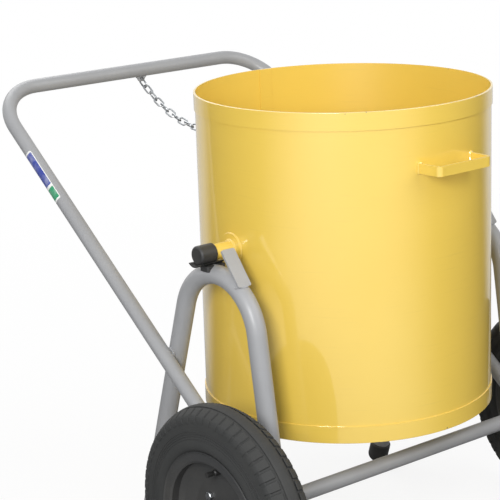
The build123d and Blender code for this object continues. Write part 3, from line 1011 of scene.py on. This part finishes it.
@dataclass
class Wheel(Assembly):
    """Pneumatic wheel on two bolted rim halves."""

    side: Side = Side.LEFT
    # Bead on the rim: mm from the tyre's middle, mm outside the rim's flange
    bead: Profile = ((20.0, -15.4), (30.6, -15.4), (30.6, -1.2), (32.6, 1.4))
    # Outside and inside of the wall: mm inside the half width, mm outside the rim's flange
    wall: Profile = (
        (2.0, 2.8), (0.8, 4.8), (0.2, 7.2), (0.1, 9.8), (0.5, 13.2),
        (1.4, 17.4), (2.5, 21.6), (3.3, 25.4), (3.5, 28.6),
    )
    hollow: Profile = ((19.5, -11.4), (7.5, 8.0), (5.5, 24.0))
    # Ridges round the wall: mm outside the flange; share of a stretch of wall and height in mm
    ridged: Span = (17.0, 33.0)
    ridge: Profile = ((0.36, 0.0), (0.44, 0.7), (0.56, 0.7), (0.64, 0.0))
    # Groove floor and top of a block: mm from the tyre's middle
    floor: tuple[float, ...] = (27.0, 24.0, 21.0, 18.0, 15.0)
    block_top: tuple[float, ...] = (17.5, 20.5, 23.5, 26.0)
    # Block over the shoulder: mm inside the half width, mm below the shoulder
    block_bend: Profile = ((7.4, 0.8), (5.4, 3.0), (3.9, 6.5), (2.8, 10.5), (2.2, 14.0))
    tread_blocks: int = 60
    tread_depth: float = 2.6 * MM
    tread_notch: float = 4.6 * MM
    block_edge: float = 0.9 * MM
    block_root: float = 1.2 * MM
    block_flare: float = 0.7 * MM
    block_taper: float = 0.25
    groove_x: float = 12 * MM
    groove_width: float = 4 * MM
    shoulder_x: float = 27 * MM
    shoulder_drop: float = 10 * MM
    shoulder_foot_x: float = 29.2 * MM
    shoulder_steps: int = 9
    hollow_x: float = 21 * MM
    shoulder_wall: float = 7.5 * MM
    crown_wall: float = 13 * MM
    turn_steps: int = 216
    bolt_steps: int = 36
    # Bolt heads and nuts: round faces as shares of the flats, turned edge as a share of the corners
    hex_face: float = 0.9
    hex_edge: float = 1.02
    hex_chamfer: float = 0.9 * MM
    head_height: float = 5.2 * MM
    washer_face: float = 0.97
    washer_height: float = 0.5 * MM
    shank_radius: float = 4 * MM
    thread_length: float = 10 * MM
    thread_turns: int = 7
    thread_depth: float = 0.5 * MM
    thread_end: float = 1 * MM
    thread_crest: Span = (0.35, 0.65)
    tip_bevel: float = 0.6 * MM
    tip_drop: float = 1.1 * MM
    bore_radius: float = 4.1 * MM
    bore_bevel: float = 0.5 * MM

    def __post_init__(self) -> None:
        """Read the wheel's sizes from the CAD nodes."""
        self.body = self.side.prefix + "wheel"
        self.middle, tyre_half = box_of(self.side.prefix + "tyre")
        _, rim_half = box_of(self.side.prefix + "outer_rim")
        self.half_width, self.crown = tyre_half.x, tyre_half.z
        self.flange = rim_half.z

    def build(self, ring: RingPattern, place: PlacePattern) -> None:
        """Dress the wheel's nodes and make its tyre, bolts and nuts.

        Args:
            ring: Copies tread blocks round the axle.
            place: Copies fixings to their places.
        """
        prefix = self.side.prefix
        self.dress(prefix + name for name in ("inner_tube", "outer_rim", "inner_rim", "hub", "bearings", "valve"))
        rubber = self.materials[Slot.TYRE]
        parts = [self.carcass()]
        parts[0].transform(Matrix.Translation(self.middle))
        for way, phase in ((-1, 0.0), (1, math.pi / self.tread_blocks)):
            block = self.tread_block(way)
            parts.append(ring.run(block, rubber, Count=self.tread_blocks, Phase=phase, Centre=tuple(self.middle)))
        self.add(prefix + "tyre_tread", joined(parts, rubber), Slot.TYRE, [prefix + "tyre"])
        for name, maker in ((prefix + "rim_bolts", self.bolt), (prefix + "rim_nuts", self.nut)):
            solids = islands(self.frame["nodes"][name])
            places = [Matrix.Translation((solid.min(0) + solid.max(0)) / 2) for solid in solids]
            fixing = maker(Vector(np.ptp(solids[0], axis=0)))
            self.add(name + "_turned", place.copies(fixing, places, self.materials[Slot.ZINC]), Slot.ZINC, [name])

    def crown_at(self, x: float) -> float:
        """Give the tread's outer radius at a distance from the middle."""
        return self.crown - self.shoulder_drop * (x / self.shoulder_x) ** 2

    @staticmethod
    def mirrored(half: list[Span], middle: float) -> list[Span]:
        """Complete half a profile with the radius in its middle and its other half."""
        return half + [(0.0, middle)] + [(-x, r) for x, r in reversed(half)]

    def carcass(self) -> Mesh:
        """Turn the tyre's body, with its bead, ridged wall, groove floors and middle rib.

        Returns:
            The body as a closed mesh about X.
        """
        outer, inner = (
            [(self.half_width - inset * MM, self.flange + rise * MM) for inset, rise in profile]
            for profile in (self.wall, self.hollow)
        )
        wall = [(x * MM, self.flange + rise * MM) for x, rise in self.bead] + outer
        start_x, start_r = wall[-1]
        top = self.crown - self.shoulder_drop - self.tread_depth
        for i in range(1, self.shoulder_steps + 1):
            angle = math.pi / 2 * i / self.shoulder_steps
            x = start_x + (self.shoulder_foot_x - start_x) * (1 - math.cos(angle))
            wall.append((x, start_r + (top - start_r) * math.sin(angle)))
        half = []
        for (x0, r0), (x1, r1) in zip(wall, wall[1:]):
            half.append((x0, r0))
            if self.ridged[0] < (r0 - self.flange) / MM < self.ridged[1]:
                run = math.dist((x0, r0), (x1, r1))
                for share, height in self.ridge:
                    lift = height * MM / run
                    x = x0 + share * (x1 - x0) + lift * (r1 - r0)
                    half.append((min(x, self.half_width), r0 + share * (r1 - r0) + lift * (x0 - x1)))
        rib = self.groove_x - self.groove_width / 2
        floor = [*(x * MM for x in self.floor), rib]
        half += [wall[-1], *((x, self.crown_at(x) - self.tread_depth) for x in floor)]
        half += [(rib, self.crown_at(rib) - self.block_edge), (rib - self.block_edge, self.crown_at(rib))]
        half.append((rib / 2, self.crown_at(rib / 2)))
        inner.append((self.hollow_x, top - self.shoulder_wall))
        profile = self.mirrored(half, self.crown) + self.mirrored(inner, self.crown - self.crown_wall)[::-1]
        return turned_mesh("tyre_body", profile, self.turn_steps)

    def tread_block(self, way: int) -> Mesh:
        """Make one shoulder block, at the top of the wheel, that runs over the shoulder onto the wall.

        Args:
            way: Side of the tread, -1 or 1.

        Returns:
            The block as a closed mesh about the axle.
        """
        half = (math.tau * self.crown / self.tread_blocks - self.tread_notch) / 2
        edge = self.block_edge
        start = self.groove_x + self.groove_width / 2
        shoulder = self.crown - self.shoulder_drop
        stations = [(start, self.crown_at(start) - edge)]
        stations += [(x, self.crown_at(x)) for x in (start + edge, *(x * MM for x in self.block_top))]
        stations += [(self.half_width - inset * MM, shoulder - drop * MM) for inset, drop in self.block_bend]
        section = ((half - edge, 0.0), (half, edge), (half + self.block_flare, self.tread_depth + self.block_root))
        bent = len(self.block_bend)
        last = len(stations) - 1
        points = []
        for i, (x, r) in enumerate(stations):
            near, far = stations[max(i - 1, 0)], stations[min(i + 1, last)]
            run = math.dist(near, far)
            out = ((near[1] - far[1]) / run, (far[0] - near[0]) / run)
            if i == last:
                x -= self.block_root * out[0]
            narrow = 1.0 - self.block_taper * max(0, i - last + bent) / bent
            for hand, row in ((-narrow, section), (narrow, section[::-1])):
                points += [(way * (x - depth * out[0]), hand * width, r - depth * out[1]) for width, depth in row]
        columns = 2 * len(section)
        faces = grid_faces(last + 1, columns, False, True)
        faces += [tuple(reversed(range(columns))), tuple(range(last * columns, len(points)))]
        return build_mesh("tread_block", points, faces)

    def hexagon(self, size: Vector) -> tuple[float, float, float]:
        """Give half the length, the turned radius over the corners and the radius at the flats of a fixing."""
        corner = max(size.y, size.z) / 2
        return size.x / 2, self.hex_edge * corner, corner * math.cos(math.pi / 6)

    def bolt(self, size: Vector) -> Mesh:
        """Make a hexagon bolt with its head outwards, its middle at the origin.

        Args:
            size: Length along X and width over the head.

        Returns:
            The bolt.
        """
        half, edge, flat = self.hexagon(size)
        head, shank = half - self.head_height, self.shank_radius
        washer = head + self.washer_height
        profile = [(half, 0.0), (half, self.hex_face * flat), (half - self.hex_chamfer, edge), (washer, edge)]
        profile += [(x, self.washer_face * flat) for x in (washer, head)] + [(head, shank)]
        pitch = (self.thread_length - self.thread_end) / self.thread_turns
        for x in (self.thread_length - half - i * pitch for i in range(self.thread_turns)):
            profile.append((x, shank - self.thread_depth))
            profile += [(x - crest * pitch, shank) for crest in self.thread_crest]
        profile += [(-half + self.tip_bevel, shank - self.tip_bevel), (-half, shank - self.tip_drop), (-half, 0.0)]
        outward = [(self.side.value * x, r) for x, r in profile]
        return turned_mesh("rim_bolt", outward, self.bolt_steps, flat)

    def nut(self, size: Vector) -> Mesh:
        """Make a hexagon nut, its middle at the origin.

        Args:
            size: Length along X and width over the corners.

        Returns:
            The nut.
        """
        half, edge, flat = self.hexagon(size)
        bore = self.bore_radius
        end = [(half - self.bore_bevel, bore), (half, bore + self.bore_bevel)]
        end += [(half, self.hex_face * flat), (half - self.hex_chamfer, edge)]
        profile = end + [(-x, r) for x, r in reversed(end)]
        return turned_mesh("rim_nut", profile, self.bolt_steps, flat)


@dataclass
class Chain(Assembly):
    """Welded link chain with its hook."""

    body: str = "chain"
    arc_steps: int = 9
    straight_steps: int = 6
    wire_steps: int = 10
    weld_swell: float = 0.16

    def build(self, place: PlacePattern) -> None:
        """Dress the hook and make the links.

        Args:
            place: Copies the link to each link's place.
        """
        self.dress(["chain_hook"])
        solids = islands(self.frame["nodes"]["chain_links"])
        places = []
        for solid in solids:
            middle = (solid.min(0) + solid.max(0)) / 2
            _, axes = np.linalg.eigh(np.cov((solid - middle).T))
            long, wide = Vector(axes[:, 2]), Vector(axes[:, 1])
            turn = Matrix((long, wide, long.cross(wide))).transposed().to_4x4()
            places.append(Matrix.Translation(middle) @ turn)
        size = np.ptp(solids[0] @ np.array(places[0].to_3x3()), axis=0)
        links = place.copies(self.link(*size), places, self.materials[Slot.ZINC])
        self.add("chain_links_welded", links, Slot.ZINC, ["chain_links"])

    def link(self, length: float, width: float, wire: float) -> Mesh:
        """Make one welded link in the XY plane, long along X.

        Args:
            length: Outer length.
            width: Outer width.
            wire: Wire diameter.

        Returns:
            The link.
        """
        bend = (width - wire) / 2
        straight = length - width
        cos, sin = full_turn(self.wire_steps)
        rings = []
        for end in (1, -1):
            for i in range(self.arc_steps + 1):
                angle = math.pi * i / self.arc_steps - math.pi / 2
                out = bend + cos * wire / 2
                x = straight / 2 + out * math.cos(angle)
                rings.append(points_at(end * x, end * out * math.sin(angle), sin * wire / 2))
            for i in range(1, self.straight_steps):
                welded = end > 0 and i == self.straight_steps // 2
                radius = wire / 2 * (1 + self.weld_swell if welded else 1)
                x = end * straight * (0.5 - i / self.straight_steps)
                rings.append(points_at(x, end * (bend + cos * radius), sin * radius))
        return build_mesh("chain_link", np.concatenate(rings), grid_faces(len(rings), self.wire_steps, True, True))


@dataclass(frozen=True)
class Softbox:
    """Square soft lamp: degrees round the cart and above the floor, side in metres, watts and metres away."""

    name: str
    azimuth: float
    elevation: float
    side: float
    power: float
    distance: float = 3.6

    def hang(self, aim: Vector) -> None:
        """Hang the lamp so that it looks at a point.

        Args:
            aim: The point.
        """
        back = way_out(math.radians(self.azimuth), math.radians(self.elevation))
        data = bpy.data.lights.new(self.name, "AREA")
        data.size = self.side
        data.energy = self.power
        lamp = put(self.name, data)
        lamp.location = aim + back * self.distance
        lamp.rotation_euler = back.to_track_quat("Z", "Y").to_euler()
        lamp.visible_camera = False
        LOG.info("lamp %s: %.0f W", self.name, self.power)


@dataclass
class Studio:
    """Pale floor, soft lights, white surround and the camera."""

    camera_place: tuple[float, float, float] = (-1.9030, -2.26565, 1.27325)
    azimuth: float = math.radians(-38.686)
    elevation: float = math.radians(14.774)
    roll: float = math.radians(-1.933)
    lens: float = 126.02
    sensor: float = 36.0
    floor_side: float = 16.0
    floor_colour: str = "#F8F8F8"
    floor_bounce: str = "#A8A8A8"
    glow_share: Span = (0.84, 1.0)
    glow_reach: Span = (0.6, 2.6)
    front_span: Span = (0.35, 0.95)
    front_glow: float = 1.0
    rear_span: Span = (-0.5, -0.8)
    rear_glow: float = 0.7
    # Painted shadow of the cart in the floor's reflected glow: distances from the cart's middle and the least glow
    painted_shadow_reach: Span = (0.5, 1.3)
    painted_shadow_glow: float = 0.25
    sky_light: float = 0.42
    aim: tuple[float, float, float] = (0.0, -0.05, 0.45)
    lamps: tuple[Softbox, ...] = (
        Softbox("left_softbox", -53.0, 22.0, 1.1, 88.0),
        Softbox("right_softbox", 18.0, 36.0, 2.4, 47.0),
        Softbox("rear_softbox", 170.0, 45.0, 2.4, 48.0),
    )

    def build(self) -> None:
        """Make the floor, the surround, the lamps and the camera."""
        bpy.context.scene.view_settings.view_transform = "Standard"
        self.floor()
        self.surround()
        for lamp in self.lamps:
            lamp.hang(Vector(self.aim))
        self.camera()

    def seen_white(self, node: NodeAdder) -> Socket:
        """Tell the rays that should see plain white from those that carry light.

        Args:
            node: Adds a node to the tree.

        Returns:
            1 for camera, glossy and transmission rays, else 0.
        """
        path = node("ShaderNodeLightPath").node.outputs
        seen = path["Is Camera Ray"]
        for ray in ("Is Glossy Ray", "Is Transmission Ray"):
            seen = node("ShaderNodeMath", (seen, path[ray]), operation="MAXIMUM")
        return seen

    def floor(self) -> None:
        """Lay the floor: matt white paper that keeps a soft shadow."""
        half = self.floor_side / 2
        mesh = bpy.data.meshes.new("floor")
        corners = [(-half, -half, 0), (half, -half, 0), (half, half, 0), (-half, half, 0)]
        mesh.from_pydata(corners, [], [(0, 1, 2, 3)])
        material = bpy.data.materials.new("white_paper")
        node = empty_tree(material)
        place = node("ShaderNodeTexCoord", out="Object")
        away = node("ShaderNodeVectorMath", (place,), "Value", operation="LENGTH")
        whiten = node("ShaderNodeMapRange", (away, *self.glow_reach, *self.glow_share))
        seen = node("ShaderNodeLightPath", out="Is Camera Ray")
        colours = {0: seen, 6: linear(self.floor_bounce), 7: linear(self.floor_colour)}
        matt = node("ShaderNodeBsdfDiffuse", {"Color": node("ShaderNodeMix", colours, 2, data_type="RGBA")})
        strength = node("ShaderNodeMix", {0: seen, 2: self.mirrored_glow(node, place, away), 3: 1.0})
        glow = node("ShaderNodeEmission", {"Color": WHITE, "Strength": strength})
        share = node("ShaderNodeMath", (self.seen_white(node), whiten), operation="MULTIPLY")
        node("ShaderNodeOutputMaterial", {"Surface": node("ShaderNodeMixShader", (share, matt, glow))})
        mesh.materials.append(material)
        floor = put("floor", mesh)

    def mirrored_glow(self, node: NodeAdder, place: Socket, away: Socket) -> Socket:
        """Light the floor in reflections: brightest before the cart, dark beside it, and dimmed near it as a painted
        shadow of the cart.

        Args:
            node: Adds a node to the floor's tree.
            place: Object coordinates in metres.
            away: Distance from the cart's middle.

        Returns:
            Strength of the floor's glow in reflections.
        """
        way = node("ShaderNodeVectorMath", (place,), operation="NORMALIZE")
        to_camera = way_out(self.azimuth, 0.0)
        ahead = node("ShaderNodeVectorMath", (way, to_camera), "Value", operation="DOT_PRODUCT")
        ends = (
            node("ShaderNodeMapRange", (ahead, *span, 0.0, glow), interpolation_type="SMOOTHSTEP")
            for span, glow in ((self.front_span, self.front_glow), (self.rear_span, self.rear_glow))
        )
        mirrored = node("ShaderNodeMath", tuple(ends), operation="ADD")
        # Painted shadow: the reflected glow fades near the cart and stands in for the cart's shadow on the floor
        clear = node("ShaderNodeMapRange", (away, *self.painted_shadow_reach, self.painted_shadow_glow, 1.0))
        return node("ShaderNodeMath", (mirrored, clear), operation="MULTIPLY")

    def surround(self) -> None:
        """Set a surround that is seen as white and lights softly."""
        world = bpy.data.worlds.new("white_surround")
        bpy.context.scene.world = world
        node = empty_tree(world)
        strength = node("ShaderNodeMapRange", (self.seen_white(node), 0.0, 1.0, self.sky_light, 1.0))
        sky = node("ShaderNodeBackground", {"Color": WHITE, "Strength": strength})
        node("ShaderNodeOutputWorld", {"Surface": sky})

    def camera(self) -> None:
        """Put the camera where the picture was taken from."""
        back = way_out(self.azimuth, self.elevation)
        level = Vector((0, 0, 1)).cross(back).normalized()
        rise = back.cross(level)
        right = level * math.cos(self.roll) + rise * math.sin(self.roll)
        up = rise * math.cos(self.roll) - level * math.sin(self.roll)
        data = bpy.data.cameras.new("camera")
        data.lens = self.lens
        data.sensor_width = self.sensor
        camera = put("camera", data)
        camera.matrix_world = Matrix.Translation(self.camera_place) @ Matrix((right, up, back)).transposed().to_4x4()
        bpy.context.scene.camera = camera


def make_finishes() -> dict[Slot, Material]:
    """Build the finishes that the CAD nodes name.

    Returns:
        Material of each slot.
    """
    shell_ends = tuple(corner.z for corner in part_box("drum_shell"))
    axle, tyre_half = box_of("left_tyre")
    finishes = {
        # Gloss enamel over rolled sheet: clear warm yellow, bright sheen, tiny chips along the rim and the foot
        Slot.YELLOW: Enamel(
            "gloss_yellow_enamel", "#E9C754", "#E6C24B", 0.38, specular=0.75, cloud_mm=140.0, bare="#8A7A4A",
            coat=1.0, coat_roughness=0.06, coat_ior=1.65, chip_level=0.92, worn_heights=shell_ends, scuff_mix=0.05,
        ),
        # Satin enamel on tube: even cool grey, soft sheen, some road dust low down
        Slot.GREY: Enamel("satin_grey_enamel", "#9C9D9F", "#939497", 0.42, cloud_mm=70.0, coat=0.1, dust_top=0.3),
        # Dipped black enamel on pressed rims: near black, satin, dusty
        Slot.BLACK: Enamel(
            "satin_black_enamel", "#363738", "#3C3C3C", 0.5, specular=0.4, bare="#4A4946", scuff_mix=0.08,
            dust_top=0.3,
        ),
        # Moulded rubber ferrules and troughs: soft black with a faint grey bloom
        Slot.CAP: Rubber("moulded_black_rubber", "#2B2B2B", "#474645", 0.55),
        # Tyre rubber: dull grey black, fine rings on the wall, a breath of dust on the tread
        Slot.TYRE: TyreRubber(
            "tyre_rubber", "#333434", "#3E3E3D", 0.74, specular=0.3, cloud_mm=45.0, axle=(axle.y, axle.z),
            crown=tyre_half.z,
        ),
        # Butyl of the inner tube: smooth dull black
        Slot.TUBE: Rubber("butyl_rubber", "#2A2A2A", "#3C3C3C", 0.6),
        # Valve stem: the darkest rubber, slightly shinier
        Slot.VALVE: Rubber("valve_rubber", "#202020", "#363636", 0.55),
        # Bright zinc plate: bluish grey metal, cloudy, half dull
        Slot.ZINC: PlatedSteel("bright_zinc_plate", "#B7BABD", "#8E9092", 0.36),
        # Ground bearing steel: darker and smoother metal
        Slot.BEARING: PlatedSteel("ground_bearing_steel", "#8F9194", "#6F7072", 0.28),
    }
    return {slot: finish.build() for slot, finish in finishes.items()}


def main() -> None:
    """Build the studio and the cart's assemblies in order."""
    logging.basicConfig(level=logging.INFO, format="%(name)s: %(message)s")
    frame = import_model()
    Studio().build()
    materials = make_finishes()
    weld = WeldPattern()
    ring = RingPattern()
    place = PlacePattern()
    CartFrame(frame, materials).build(weld)
    Drum(frame, materials).build(weld)
    for side in Side:
        Wheel(frame, materials, side=side).build(ring, place)
    Chain(frame, materials).build(place)


if __name__ == "__main__":
    main()
